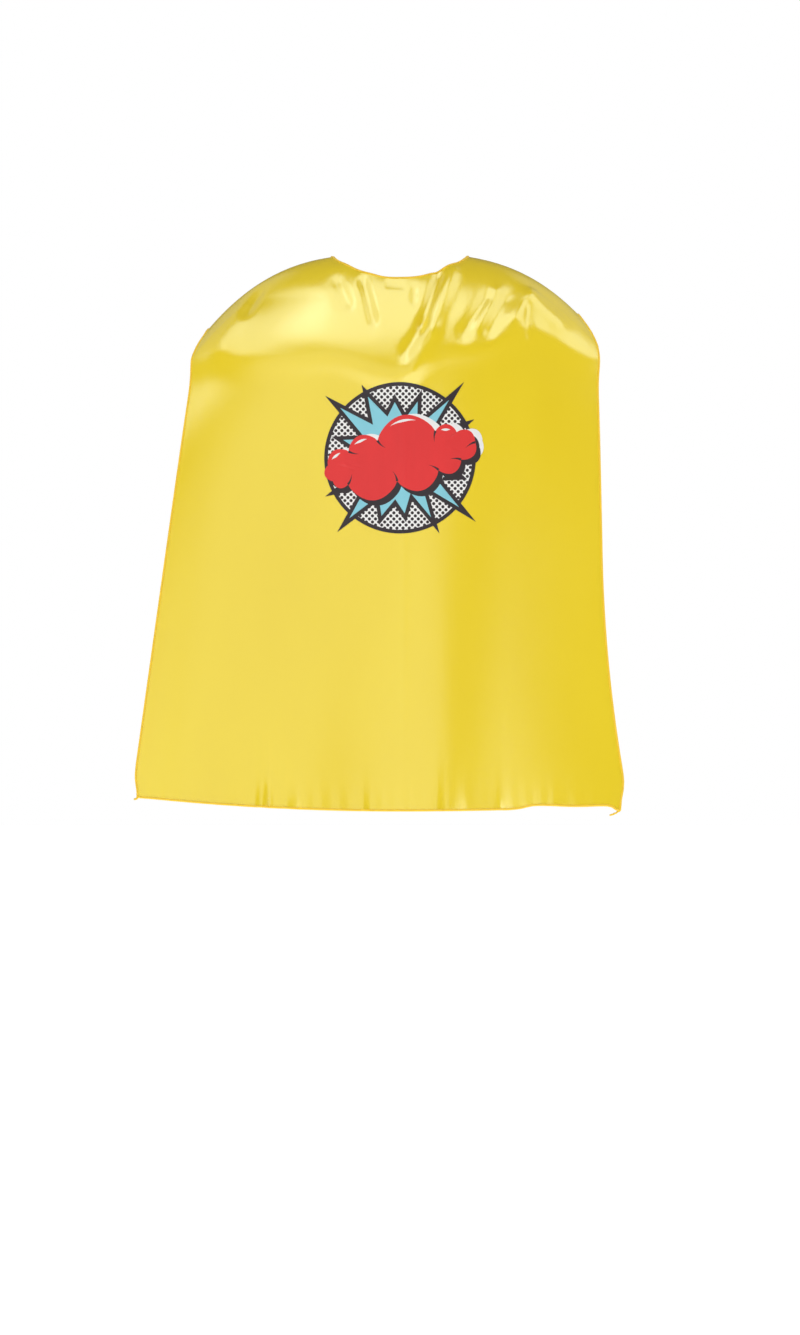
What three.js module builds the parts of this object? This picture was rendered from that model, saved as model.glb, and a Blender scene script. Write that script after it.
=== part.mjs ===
import * as THREE from "three";

// A child's satin superhero cape, in the shape it takes when it is worn.
//
// One curved satin panel lies round the neck and over both shoulders and hangs down the back. Its two front
// corners are tabs that overlap at the throat, where a hook patch meets a loop patch. Every cut edge is an
// overlocked roll of thread, the back carries a transfer-printed emblem, and a care label sits inside the nape.
//
// Millimetres, +Z up. The wearer faces +Y, and +X is the wearer's right. The origin is the middle of the neck
// opening, level with the neckline. Cloth is drawn thicker than it is, as solids need some body.
//
// Every point of the cloth is given by x and by t, the way run down from the top of the shoulders: t is above 0
// behind them and below 0 in front. Round the neck, x and t are written as an angle and a radius. The angle is
// 0 on the wearer's right shoulder, 90 at the nape, 180 on the left shoulder and -90 at the throat.

// Driving dimensions
const NECK_RADIUS = 70;
const NAPE_DIP = 17; // how much further the neckline lies from the middle at the nape
const CLOTH = 1.5; // thickness
const EDGE_RADIUS = 1.3; // the roll of overlock thread
const GAP = 0.4; // between pieces that touch
const HINGE_LEVEL = -290; // where the back panel is parted, so that its lower half can swing
const HEM_LEVEL = -571;
const FOLD_ANGLE = 40; // how far forward of the shoulders the front tabs start, in degrees
const TAB_SWEEP = 67; // how far a tab runs past its fold, in degrees
const TAB_REACH = 115; // the tab's outer edge, from the middle of the neck
const TAB_ROUND = 21; // how far the tab's end is rounded off
const PATCH_THICK = 1.2;
const STITCH_RADIUS = 0.4;
const STITCH_STAND = 0.9; // from the cloth to the middle of a sewn thread
const PATCH_ANGLE = 12.5; // half of a closure patch's sweep, in degrees
const PATCH_REACH = [81, 104]; // its two long edges, from the middle of the neck
const EMBLEM_LEVEL = -208; // the emblem's middle
const EMBLEM_RADIUS = 78;

// Shoulder shape
const SHOULDER_TOP = 13;
const SHOULDER_FALL = 61;
const SHOULDER_SPAN = 184;
const SHOULDER_BACK = 10; // how far the top of the shoulder lies behind the neck at SHOULDER_SPAN

// Widths of the hanging back. The wearer's left (-X) flares more than the right.
const LEFT = { base: 180, shoulder: 26, slope: 0.137, flare: 0, hemRise: 14 };
const RIGHT = { base: 180, shoulder: 24, slope: 0.022, flare: 0.00032, hemRise: 6 };
const ARM_LEVEL = -38;
const SHOULDER_ROUND = 27;
const FLARE_START = 270;

const rad = THREE.MathUtils.degToRad;
const lerp = THREE.MathUtils.lerp;
const smooth = THREE.MathUtils.smoothstep;

// The way down from the top of the shoulder, as depth (away from the ridge) and drop.
// It starts level, and turns to its steepest over about reach millimetres.
function slopeProfile({ steepest, reach, power, length }) {
  const step = 2;
  const depths = [0];
  const drops = [0];
  for (let t = step / 2; t < length; t += step) {
    const slope = rad(steepest) * (1 - Math.exp(-Math.pow(t / reach, power)));
    depths.push(depths.at(-1) + step * Math.cos(slope));
    drops.push(drops.at(-1) + step * Math.sin(slope));
  }
  const read = (list, t) => {
    const i = Math.min(Math.floor(t / step), list.length - 2);
    return lerp(list[i], list[i + 1], t / step - i);
  };
  const wayTo = (drop) => {
    const i = Math.max(1, drops.findIndex((d) => d > drop));
    return step * (i - 1 + (drop - drops[i - 1]) / (drops[i] - drops[i - 1]));
  };
  return { depth: (t) => read(depths, t), drop: (t) => read(drops, t), wayTo };
}

const BACK = slopeProfile({ steepest: 88, reach: 100, power: 1.5, length: 700 });
const FRONT = slopeProfile({ steepest: 78, reach: 50, power: 1.4, length: 240 });

const ridge = (x) => SHOULDER_TOP - SHOULDER_FALL * Math.pow(Math.abs(x) / SHOULDER_SPAN, 3);

function halfWidth(z, x) {
  const side = x < 0 ? LEFT : RIGHT;
  const below = Math.max(0, ARM_LEVEL - z);
  const flared = Math.max(0, below - FLARE_START);
  const round = side.shoulder * (1 - Math.exp(-Math.pow(below / SHOULDER_ROUND, 1.5)));
  return side.base + round + side.slope * below + side.flare * flared * flared;
}

// Behind, the sides come forward round the arms: this is the share of the depth that is left at x.
function backShare(x, z) {
  const wrap = 0.5 + (0.12 * z) / -HEM_LEVEL;
  return 1 - wrap * Math.pow(Math.min(1.2, Math.abs(x) / halfWidth(z, x)), 2.2);
}

const neckReach = (angle) => NECK_RADIUS + NAPE_DIP * Math.max(0, Math.sin(rad(angle)));

const frontShare = (x) => 1 - 0.35 * Math.pow(x / SHOULDER_SPAN, 2);

function bare(x, t) {
  const top = -SHOULDER_BACK * Math.pow(x / SHOULDER_SPAN, 2);
  if (t < 0) return new THREE.Vector3(x, top + FRONT.depth(-t) * frontShare(x), ridge(x) - FRONT.drop(-t));
  const z = ridge(x) - BACK.drop(t);
  return new THREE.Vector3(x, top - BACK.depth(t) * backShare(x, z), z);
}

// A point of the cloth and its outward normal. lift is the distance from the wearer's side of the cloth.
function onCloth(x, t, lift = 0) {
  const d = 0.5;
  const across = bare(x + d, t).sub(bare(x - d, t));
  const down = bare(x, t + d).sub(bare(x, t - d));
  const normal = down.cross(across).normalize();
  return { point: bare(x, t).addScaledVector(normal, lift), normal };
}

const round = (angle, r, lift) => onCloth(r * Math.cos(rad(angle)), r * Math.sin(rad(angle)), lift);
const behind = (x, z, lift) => onCloth(x, BACK.wayTo(ridge(x) - z), lift);

const hemLevel = (x) => {
  const side = x < 0 ? LEFT : RIGHT;
  return HEM_LEVEL + side.hemRise * Math.pow(x / halfWidth(HEM_LEVEL, x), 2);
};

// How far the back runs from the middle of the neck: to its side edge, or to the hinge line.
function backReach(angle) {
  const [c, s] = [Math.cos(rad(angle)), Math.sin(rad(angle))];
  let [low, high] = [NECK_RADIUS, 700];
  for (let i = 0; i < 40; i++) {
    const r = (low + high) / 2;
    const z = bare(r * c, Math.max(0, r * s)).z;
    const inside = Math.abs(r * c) < halfWidth(z, r * c) && z > HINGE_LEVEL;
    [low, high] = inside ? [r, high] : [low, r];
  }
  return low;
}

const SHOULDER_REACH = { right: backReach(0), left: backReach(180) };

// The same for the whole cloth: in front of the shoulders it ends at the front edge.
function clothReach(angle) {
  const [c, s] = [Math.cos(rad(angle)), Math.sin(rad(angle))];
  if (s > 1e-9) return backReach(angle);
  return lerp(TAB_REACH, c > 0 ? SHOULDER_REACH.right : SHOULDER_REACH.left, c * c);
}

function cornerAngle(side) {
  const x = side * halfWidth(HINGE_LEVEL, side);
  return THREE.MathUtils.radToDeg(Math.atan2(BACK.wayTo(ridge(x) - HINGE_LEVEL), x));
}

// Closed solid between the two faces of a sheet. at(i, j, lift) gives its points, on a grid of m by n cells.
function sheetSolid(m, n, low, high, at) {
  const points = [];
  for (const lift of [high, low]) {
    for (let i = 0; i <= m; i++) {
      for (let j = 0; j <= n; j++) points.push(...at(i, j, lift).point.toArray());
    }
  }
  const size = (m + 1) * (n + 1);
  const id = (i, j) => i * (n + 1) + j;
  const faces = [];
  const quad = (a, b, c, d) => faces.push(a, b, c, a, c, d);
  for (let i = 0; i < m; i++) {
    for (let j = 0; j < n; j++) {
      const [a, b, c, d] = [id(i, j), id(i, j + 1), id(i + 1, j + 1), id(i + 1, j)];
      quad(a, d, c, b);
      quad(size + a, size + b, size + c, size + d);
    }
  }
  const rim = (a, b) => quad(a, size + a, size + b, b);
  for (let i = 0; i < m; i++) {
    rim(id(i, 0), id(i + 1, 0));
    rim(id(i + 1, n), id(i, n));
  }
  for (let j = 0; j < n; j++) {
    rim(id(m, j), id(m, j + 1));
    rim(id(0, j + 1), id(0, j));
  }
  const made = new THREE.BufferGeometry();
  made.setAttribute("position", new THREE.Float32BufferAttribute(points, 3));
  made.setIndex(faces);
  return made;
}

// Moves a row of cloth points sideways in the cloth, off its edge, by distance.
function besideEdge(row, distance) {
  return row.map(({ point, normal }, i) => {
    const along = row[Math.min(i + 1, row.length - 1)].point.clone().sub(row[Math.max(i - 1, 0)].point);
    return point.clone().addScaledVector(along.cross(normal).normalize(), -distance);
  });
}

// A path that keeps to the same points as the cloth it borders, and so keeps its distance from it.
class PointPath extends THREE.Curve {
  constructor(points) {
    super();
    this.points = points;
  }

  getPointAt(u) {
    const last = this.points.length - 1;
    const i = Math.min(Math.floor(u * last + 1e-6), last - 1);
    return this.points[i].clone().lerp(this.points[i + 1], u * last - i);
  }

  getTangentAt(u) {
    const d = 0.4 / (this.points.length - 1);
    return this.getPointAt(Math.min(1, u + d)).sub(this.getPointAt(Math.max(0, u - d))).normalize();
  }
}

function sweep(extrudePath, radius, sides, steps) {
  const section = new THREE.Shape();
  for (let k = 0; k < sides; k++) {
    const a = (2 * Math.PI * k) / sides;
    if (k) section.lineTo(radius * Math.cos(a), radius * Math.sin(a));
    else section.moveTo(radius, 0);
  }
  return new THREE.ExtrudeGeometry(section, { steps, bevelEnabled: false, extrudePath });
}

const cord = (points, radius, steps, closed = false) =>
  sweep(new THREE.CatmullRomCurve3(points, closed, "centripetal"), radius, 5, steps);

// The overlocked roll along a row of edge points that has the cloth on its right, seen from outside.
function rolledEdge(row) {
  const path = new PointPath(besideEdge(row, EDGE_RADIUS + GAP));
  return sweep(path, EDGE_RADIUS, 6, row.length - 1);
}

const satin = () => new THREE.MeshStandardMaterial({ color: 0xf0d640, roughness: 0.38, metalness: 0 });
const thread = () => new THREE.MeshStandardMaterial({ color: 0xf2b71c, roughness: 0.6, metalness: 0 });
const printed = () => new THREE.MeshStandardMaterial({ color: 0xe7e4df, roughness: 0.5, metalness: 0 });
const tape = () => new THREE.MeshStandardMaterial({ color: 0xf0ede4, roughness: 0.9, metalness: 0 });

const cape = new THREE.Group();
cape.name = "superhero_cape";

function add(name, geometry, material) {
  const mesh = new THREE.Mesh(geometry, material);
  mesh.name = name;
  cape.add(mesh);
}

const steps = (from, to, count) => Array.from({ length: count + 1 }, (_, i) => lerp(from, to, i / count));

// Upper half of the panel: from one tab's fold, behind the neck, to the other's.
const RIGHT_CORNER = cornerAngle(1);
const LEFT_CORNER = cornerAngle(-1);
const panelAngles = [
  ...steps(-FOLD_ANGLE, 0, 6),
  ...steps(0, RIGHT_CORNER, 12).slice(1),
  ...steps(RIGHT_CORNER, LEFT_CORNER, 14).slice(1),
  ...steps(LEFT_CORNER, 180, 12).slice(1),
  ...steps(180, 180 + FOLD_ANGLE, 6).slice(1),
];

function addBackPanel() {
  const n = 12;
  const at = (i, j, lift) => {
    const angle = panelAngles[i];
    return round(angle, lerp(neckReach(angle), clothReach(angle), Math.pow(j / n, 1.4)), lift);
  };
  add("back_panel", sheetSolid(panelAngles.length - 1, n, 0, CLOTH, at), satin());
}

// Lower half of the panel, from the hinge line to the hem. u runs from -1 on the left edge to 1 on the right.
const SKIRT_COLUMNS = 16;
const skirtX = (u, z) => u * halfWidth(z, u);

function skirtPoint(u, v, lift) {
  const z = lerp(HINGE_LEVEL - GAP, hemLevel(skirtX(u, HEM_LEVEL)), v);
  return behind(skirtX(u, z), z, lift);
}

function addSkirtPanel() {
  const n = 7;
  const at = (i, j, lift) => skirtPoint(lerp(1, -1, i / SKIRT_COLUMNS), j / n, lift);
  add("skirt_panel", sheetSolid(SKIRT_COLUMNS, n, 0, CLOTH, at), satin());
}

// Front tabs. side is 1 for the wearer's right, whose tab lies outside, and -1 for the left.
const OUTER_LIFT = CLOTH + 2 * PATCH_THICK + 3 * GAP; // clears the other tab and both patches
const ROUND_SWEEP = 14; // the last degrees of the tab, where its end is rounded
const FOLD_GAP = 0.35; // degrees between the panel and the tab
const tabAngle = (side, past) => (side > 0 ? -FOLD_ANGLE - past : 180 + FOLD_ANGLE + past);
const tabLift = (side, past) => (side > 0 ? OUTER_LIFT * smooth(past, 2, 28) : 0);
const tabSweeps = [
  ...steps(FOLD_GAP, TAB_SWEEP - ROUND_SWEEP, 8),
  ...steps(0, 90, 5).slice(1).map((a) => TAB_SWEEP - ROUND_SWEEP * (1 - Math.sin(rad(a)))),
];

function tabPoint(side, past, share, lift) {
  const angle = tabAngle(side, past);
  const end = Math.max(0, (past - TAB_SWEEP + ROUND_SWEEP) / ROUND_SWEEP);
  const inset = TAB_ROUND * (1 - Math.sqrt(Math.max(0, 1 - end * end)));
  const r = lerp(NECK_RADIUS + inset, clothReach(angle) - inset, share);
  return round(angle, r, lift + tabLift(side, past));
}

function addTab(side, name) {
  const n = 4;
  const m = tabSweeps.length - 1;
  const at = (i, j, lift) => tabPoint(side, tabSweeps[side > 0 ? m - i : i], j / n, lift);
  add(name, sheetSolid(m, n, 0, CLOTH, at), satin());
}

// Closure patches: the loop patch is on the outside of the inner tab, the hook patch inside the outer tab.
function patchPoint(i, j, lift) {
  const angle = lerp(-90 + PATCH_ANGLE, -90 - PATCH_ANGLE, 1 - i);
  return round(angle, lerp(...PATCH_REACH, j), lift);
}

function addPatch(name, low) {
  const [m, n] = [4, 2];
  const at = (i, j, lift) => patchPoint(i / m, j / n, lift);
  add(name, sheetSolid(m, n, low, low + PATCH_THICK, at), tape());
}

// A stitched rectangle inside the outline of patchPoint, as one closed thread.
function addStitching(name, lift, point) {
  const [near, far] = [0.08, 0.92];
  const corners = [[near, near], [far, near], [far, far], [near, far]];
  const path = corners.flatMap(([a, b], k) => {
    const [c, d] = corners[(k + 1) % 4];
    return [0, 0.25, 0.5, 0.75].map((s) => point(lerp(a, c, s), lerp(b, d, s), lift).point);
  });
  add(name, cord(path, STITCH_RADIUS, 32, true), thread());
}

function addRolledEdges() {
  const middle = CLOTH / 2;
  const inner = panelAngles.map((a) => round(a, neckReach(a), middle)).reverse();
  add("neckline_rolled_edge", rolledEdge(inner), thread());
  const outer = (from, to) => {
    const angles = panelAngles.filter((a) => a > from - 1e-6 && a < to + 1e-6);
    return angles.map((a) => round(a, clothReach(a) * (1 - 1e-9), middle));
  };
  add("right_side_rolled_edge", rolledEdge(outer(-FOLD_ANGLE, RIGHT_CORNER)), thread());
  add("left_side_rolled_edge", rolledEdge(outer(LEFT_CORNER, 180 + FOLD_ANGLE)), thread());

  const down = steps(0, 1, 10);
  const short = 1 - 1.5 / (HINGE_LEVEL - HEM_LEVEL); // the side rolls stop short of the hem's
  const right = down.map((v) => skirtPoint(1, v * short, middle));
  const left = down.map((v) => skirtPoint(-1, v * short, middle)).reverse();
  add("right_skirt_rolled_edge", rolledEdge(right), thread());
  add("left_skirt_rolled_edge", rolledEdge(left), thread());
  const hem = steps(1, -1, SKIRT_COLUMNS).map((u) => skirtPoint(u, 1, middle));
  add("hem_rolled_edge", rolledEdge(hem), thread());

  for (const [side, name] of [[1, "outer_tab_rolled_edge"], [-1, "inner_tab_rolled_edge"]]) {
    const alongNeck = tabSweeps.map((a) => tabPoint(side, a, 0, middle));
    const alongFront = tabSweeps.map((a) => tabPoint(side, a, 1, middle)).reverse();
    const row = [...alongNeck, ...alongFront];
    add(name, rolledEdge(side < 0 ? row.reverse() : row), thread());
  }
}

// The chain of thread that the overlock leaves past each bottom corner.
function addThreadTails() {
  const radius = 0.9;
  const tails = [
    { side: 1, name: "right_corner_thread_tail", reach: new THREE.Vector3(-13, 2, -15) },
    { side: -1, name: "left_corner_thread_tail", reach: new THREE.Vector3(-5, 2, -6) },
  ];
  for (const { side, name, reach } of tails) {
    const start = skirtPoint(side, 1, CLOTH / 2).point;
    start.x += side * (2 * EDGE_RADIUS + GAP);
    start.z -= 2 * EDGE_RADIUS + 2 * GAP;
    const end = start.clone().add(reach);
    const middle = start.clone().lerp(end, 0.5).add(new THREE.Vector3(-side * 1.5, 0, -1.5));
    add(name, cord([start, middle, end], radius, 6), thread());
  }
}

// The emblem is one transfer film: a disc, with the points of a burst and the ends of a cloud past its rim.
const BURST_POINTS = 16;
const BURST_TURN = 5; // degrees
const FILM = 0.5;

function emblemReach(angle) {
  const turn = ((angle - BURST_TURN) / 360) * BURST_POINTS;
  const point = Math.round(turn);
  const tip = 64 + 30 * Math.pow(Math.abs(Math.sin(2 * rad(BURST_TURN + (360 * point) / BURST_POINTS))), 3);
  const burst = lerp(tip, 46, Math.min(1, 2 * Math.abs(turn - point)));
  const tilted = rad(angle - 11);
  const cloud = 1 / Math.hypot(Math.cos(tilted) / 92, Math.sin(tilted) / 46);
  return Math.max(EMBLEM_RADIUS, burst, cloud);
}

function addEmblem() {
  const [m, n] = [96, 2];
  const low = CLOTH + 2 * GAP;
  const at = (i, j, lift) => {
    const angle = (360 * i) / m;
    const r = (emblemReach(angle) * j) / n;
    return behind(r * Math.cos(rad(angle)), EMBLEM_LEVEL + r * Math.sin(rad(angle)), lift).point;
  };
  const points = [];
  const faces = [];
  const ring = (i, j, face) => 2 + ((i % m) * n + (j - 1)) * 2 + face;
  for (const lift of [low + FILM, low]) points.push(...at(0, 0, lift).toArray());
  for (let i = 0; i < m; i++) {
    for (let j = 1; j <= n; j++) {
      for (const lift of [low + FILM, low]) points.push(...at(i, j, lift).toArray());
    }
  }
  for (let i = 0; i < m; i++) {
    faces.push(0, ring(i, 1, 0), ring(i + 1, 1, 0), 1, ring(i + 1, 1, 1), ring(i, 1, 1));
    for (let j = 1; j < n; j++) {
      const [a, b, c, d] = [ring(i, j, 0), ring(i, j + 1, 0), ring(i + 1, j + 1, 0), ring(i + 1, j, 0)];
      faces.push(a, b, c, a, c, d, a + 1, c + 1, b + 1, a + 1, d + 1, c + 1);
    }
    const [a, b] = [ring(i, n, 0), ring(i + 1, n, 0)];
    faces.push(a, a + 1, b + 1, a, b + 1, b);
  }
  const film = new THREE.BufferGeometry();
  film.setAttribute("position", new THREE.Float32BufferAttribute(points, 3));
  film.setIndex(faces);
  add("emblem_film", film, printed());
}

// A blank woven label, sewn to the inside of the nape.
function labelPoint(i, j, lift) {
  return onCloth(lerp(17, -17, i), neckReach(90) + lerp(5, 45, j), lift);
}

function addCareLabel() {
  const [m, n] = [4, 4];
  const thick = 0.6;
  const gap = 3 * GAP;
  const at = (i, j, lift) => labelPoint(i / m, j / n, lift);
  add("care_label", sheetSolid(m, n, -gap - thick, -gap, at), tape());
  const seam = [0.1, 0.3, 0.5, 0.7, 0.9].map((i) => labelPoint(i, 0.06, -gap - thick - STITCH_STAND).point);
  add("label_stitching", cord(seam, STITCH_RADIUS, 8), thread());
}

addBackPanel();
addSkirtPanel();
addTab(1, "outer_tab");
addTab(-1, "inner_tab");
addPatch("loop_patch", CLOTH + GAP);
addPatch("hook_patch", CLOTH + PATCH_THICK + 2 * GAP);
addStitching("hook_patch_stitching", OUTER_LIFT + CLOTH + STITCH_STAND, patchPoint);
addStitching("loop_patch_stitching", -STITCH_STAND, patchPoint);
addRolledEdges();
addThreadTails();
addEmblem();
addCareLabel();

export default cape;
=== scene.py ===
"""A child's satin superhero cape in the shape it takes when it is worn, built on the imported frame.

Lengths are in millimetres until a mesh is made, which turns them into metres. The wearer faces +Y, and +X is
the wearer's right. Every point of the cloth is given by x and by t, the way run down from the top of the
shoulders: t is above 0 behind them and below 0 in front. Round the neck, x and t are written as an angle and
a radius. The angle is 0 on the wearer's right shoulder, 90 at the nape, 180 on the left shoulder and -90 at
the throat.
"""

import math

import bpy
import numpy as np
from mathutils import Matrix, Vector
from mathutils.geometry import delaunay_2d_cdt


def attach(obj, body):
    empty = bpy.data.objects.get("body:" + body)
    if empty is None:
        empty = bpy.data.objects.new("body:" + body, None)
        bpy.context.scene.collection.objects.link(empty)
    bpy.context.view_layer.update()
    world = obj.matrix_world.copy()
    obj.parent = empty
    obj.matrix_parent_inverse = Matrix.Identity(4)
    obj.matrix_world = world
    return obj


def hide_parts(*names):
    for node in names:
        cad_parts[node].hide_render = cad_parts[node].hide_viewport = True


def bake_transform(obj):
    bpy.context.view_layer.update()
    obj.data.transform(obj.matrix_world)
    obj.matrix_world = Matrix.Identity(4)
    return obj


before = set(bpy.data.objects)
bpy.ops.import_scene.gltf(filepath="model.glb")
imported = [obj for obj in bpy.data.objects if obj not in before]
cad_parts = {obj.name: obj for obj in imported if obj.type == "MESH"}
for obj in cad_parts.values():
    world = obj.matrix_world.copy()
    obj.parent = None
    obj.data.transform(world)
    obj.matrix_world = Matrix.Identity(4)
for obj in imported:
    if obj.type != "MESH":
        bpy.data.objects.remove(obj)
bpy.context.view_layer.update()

# Sizes shared with the CAD part
NECK_RADIUS = 70
NAPE_DIP = 17
CLOTH = 1.5
EDGE_RADIUS = 1.3
GAP = 0.4
HEM_LEVEL = -571
FOLD_ANGLE = 40
TAB_SWEEP = 67
TAB_REACH = 115
TAB_ROUND = 21
ROUND_SWEEP = 14
PATCH_THICK = 1.2
PATCH_ANGLE = 12.5
PATCH_REACH = (81, 104)
OUTER_LIFT = CLOTH + 2 * PATCH_THICK + 3 * GAP
LIFT_START = 2
LIFT_SWEEP = 26
EMBLEM_LEVEL = -208
EMBLEM_RADIUS = 78
SHOULDER_TOP = 13
SHOULDER_FALL = 61
SHOULDER_SPAN = 184
SHOULDER_BACK = 10
# Side edges: half-width at the arms, what the shoulders add, slope below, flare near the hem, and the rise
# of the hem at the corner
LEFT = {"base": 180, "shoulder": 26, "slope": 0.137, "flare": 0, "rise": 14}
RIGHT = {"base": 180, "shoulder": 24, "slope": 0.022, "flare": 0.00032, "rise": 6}
ARM_LEVEL = -38
SHOULDER_ROUND = 27
FLARE_START = 270

# Looks only
MIDDLE = CLOTH / 2  # lift of the middle of the cloth
SATIN_THICK = 0.3
SPLIT_ANGLE = 14  # how far in front of the shoulders the meshes of the tabs begin
LONGEST = 760  # further than any edge of the cloth, measured along t
HALVINGS = 34

# ---------------------------------------------------------------- shape of the worn cape


def run(start, stop, count):
    return np.linspace(start, stop, count + 1)


def bell(x, left, right):
    """1 at the middle, falling away over a width of its own on each side."""
    return np.exp(-((x / np.where(x < 0, left, right)) ** 2))


def unit(v):
    return v / np.linalg.norm(v, axis=-1, keepdims=True)


def length_along(path):
    """The length of a path from its start to each of its points."""
    return np.concatenate([[0], np.cumsum(np.linalg.norm(np.diff(path, axis=0), axis=1))])


def slope_profile(steepest, reach, power, length, step=2):
    """Depth and drop of cloth that starts level and gets steeper, tabulated along its length."""
    t = np.arange(step / 2, length, step)
    slope = np.radians(steepest) * (1 - np.exp(-((t / reach) ** power)))
    along = np.arange(len(t) + 1) * step
    depth = np.concatenate([[0], np.cumsum(step * np.cos(slope))])
    drop = np.concatenate([[0], np.cumsum(step * np.sin(slope))])
    return {"along": along, "depth": depth, "drop": drop}


BACK = slope_profile(steepest=88, reach=100, power=1.5, length=LONGEST)
FRONT = slope_profile(steepest=78, reach=50, power=1.4, length=240)

# How the sides of the back wrap forward: the share at the nape, the loss towards the hem, and the form
WRAP_TOP = 0.5
WRAP_LOSS = 0.12
WRAP_POWER = 2.2
WRAP_LIMIT = 1.2
FRONT_WRAP = 0.35


def ridge(x):
    """Height of the top of the shoulders."""
    return SHOULDER_TOP - SHOULDER_FALL * (np.abs(x) / SHOULDER_SPAN) ** 3


def by_side(x, key):
    return np.where(x < 0, LEFT[key], RIGHT[key])


def half_width(z, x):
    """Distance of the side edge from the middle at height z, on the side that x is on."""
    below = np.maximum(0, ARM_LEVEL - z)
    flared = np.maximum(0, below - FLARE_START)
    rounding = by_side(x, "shoulder") * (1 - np.exp(-((below / SHOULDER_ROUND) ** 1.5)))
    return by_side(x, "base") + rounding + by_side(x, "slope") * below + by_side(x, "flare") * flared**2


def back_share(x, z):
    """How much of its full depth the back has at x: less at the sides, which wrap forward."""
    wrap = WRAP_TOP + WRAP_LOSS * z / -HEM_LEVEL
    return 1 - wrap * np.minimum(WRAP_LIMIT, np.abs(x) / half_width(z, x)) ** WRAP_POWER


def bare(x, t):
    """The smooth shape, as the CAD part has it."""
    top = -SHOULDER_BACK * (x / SHOULDER_SPAN) ** 2
    z_back = ridge(x) - np.interp(t, BACK["along"], BACK["drop"])
    y_back = top - np.interp(t, BACK["along"], BACK["depth"]) * back_share(x, z_back)
    z_front = ridge(x) - np.interp(-t, FRONT["along"], FRONT["drop"])
    front_share = 1 - FRONT_WRAP * (x / SHOULDER_SPAN) ** 2
    y_front = top + np.interp(-t, FRONT["along"], FRONT["depth"]) * front_share
    return np.stack([x, np.where(t < 0, y_front, y_back), np.where(t < 0, z_front, z_back)], -1)


def t_at(x, z):
    """The t at which the back is at height z."""
    return np.interp(ridge(x) - z, BACK["drop"], BACK["along"])


def hem_level(x):
    """Height of the hem, which rises towards both corners."""
    return HEM_LEVEL + by_side(x, "rise") * (x / half_width(HEM_LEVEL, x)) ** 2


def back_reach(angle):
    """Radius at which the back ends, at a side edge or the hem, found by halving."""
    c, s = np.cos(np.radians(angle)), np.maximum(0, np.sin(np.radians(angle)))
    low, high = np.full(np.shape(angle), float(NECK_RADIUS)), np.full(np.shape(angle), float(LONGEST))
    for _ in range(HALVINGS):
        r = (low + high) / 2
        z = bare(r * c, r * s)[..., 2]
        inside = (np.abs(r * c) < half_width(z, r * c)) & (z > hem_level(r * c))
        low, high = np.where(inside, r, low), np.where(inside, high, r)
    return low


SHOULDER_REACH = back_reach(np.array([0.0, 180.0]))


def cloth_reach(angle):
    """Radius of the outer edge, round the back and round the tabs."""
    c, s = np.cos(np.radians(angle)), np.sin(np.radians(angle))
    front = TAB_REACH + (np.where(c > 0, *SHOULDER_REACH) - TAB_REACH) * c * c
    return np.where(s > 1e-9, back_reach(angle), front)


def neck_reach(angle):
    """Radius of the neckline."""
    return NECK_RADIUS + NAPE_DIP * np.maximum(0, np.sin(np.radians(angle)))


def corner_angle(side):
    """Angle of the bottom corner on one side."""
    x = np.array(float(side))
    for _ in range(8):
        x = side * half_width(hem_level(x), x)
    return float(np.degrees(np.arctan2(t_at(x, hem_level(x)), x)))


# ---------------------------------------------------------------- folds

# Soft folds of the upper back: x and level of both ends, height (below 0 for a furrow) and half-width
FOLDS = [
    ((-148, -30), (-158, -52), -3.4, 6),
    ((-163, -52), (-180, -84), 2.8, 12),
    ((-64, -24), (-56, -44), -2.5, 8),
    ((-38, -24), (-28, -64), -3.2, 5.5),
    ((-12, -26), (1, -28), -1.3, 3),
    ((15, -34), (14, -43), -1.8, 4.5),
    ((40, -18), (22, -70), -3.8, 5.5),
    ((24, -70), (6, -98), -2.8, 6),
    ((54, -12), (32, -76), 3.1, 8),
    ((32, -76), (12, -118), 2.5, 8),
    ((90, -42), (66, -78), -2.7, 7),
    ((108, -44), (92, -76), -2.2, 7),
    ((99, -34), (80, -70), 2.1, 6),
    ((118, -62), (132, -40), 2.8, 8),
    ((136, -40), (162, -66), 3.1, 9),
    ((131, -50), (132, -78), -1.3, 4.5),
]

# Where the cloth leaves the shoulder blades and hangs free: x and level
CREST = [
    (-215, -101), (-186, -94), (-142, -100), (-110, -104), (-66, -101), (-25, -117), (5, -123), (34, -99),
    (55, -93), (80, -92), (107, -80), (133, -66), (151, -76), (181, -92), (205, -102),
]
CREST_HEIGHT = 5.0
CREST_BLUR = 9
CREST_RISE = 46  # height of the slope above the ledge, and how round it is
CREST_RISE_POWER = 1.6
CREST_FALL = 19  # the same below it
CREST_FALL_POWER = 1.8

# The curled bottom corners, left and right: how far in, down and out they go, and how far the curl reaches
CURL_IN = (5.5, 8.5)
CURL_DOWN = (1.0, 7.0)
CURL_OUT = 2.0
CURL_REACH = 15.0

# The hem rises beside its deepest wave: height, x, half-width on each side, and reach up the cloth
HEM_LIFT = 3.6
HEM_LIFT_X = 140
HEM_LIFT_WIDTHS = (14, 34)
HEM_LIFT_REACH = 50

# Broad waves of the hanging cloth: x of each crest at the hem, its lean, height, and half-width on each side
WAVES = [
    (-226, 0.10, 1.6, 20, 30),
    (-118, 0.03, 10.0, 66, 64),
    (44, -0.02, 3.0, 34, 30),
    (117, 0.0, -13.0, 30, 80),
]

HANG_START = -190  # the waves grow from this level down, over the next HANG_DROP
HANG_DROP = 380
HANG_POWER = 1.2

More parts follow.
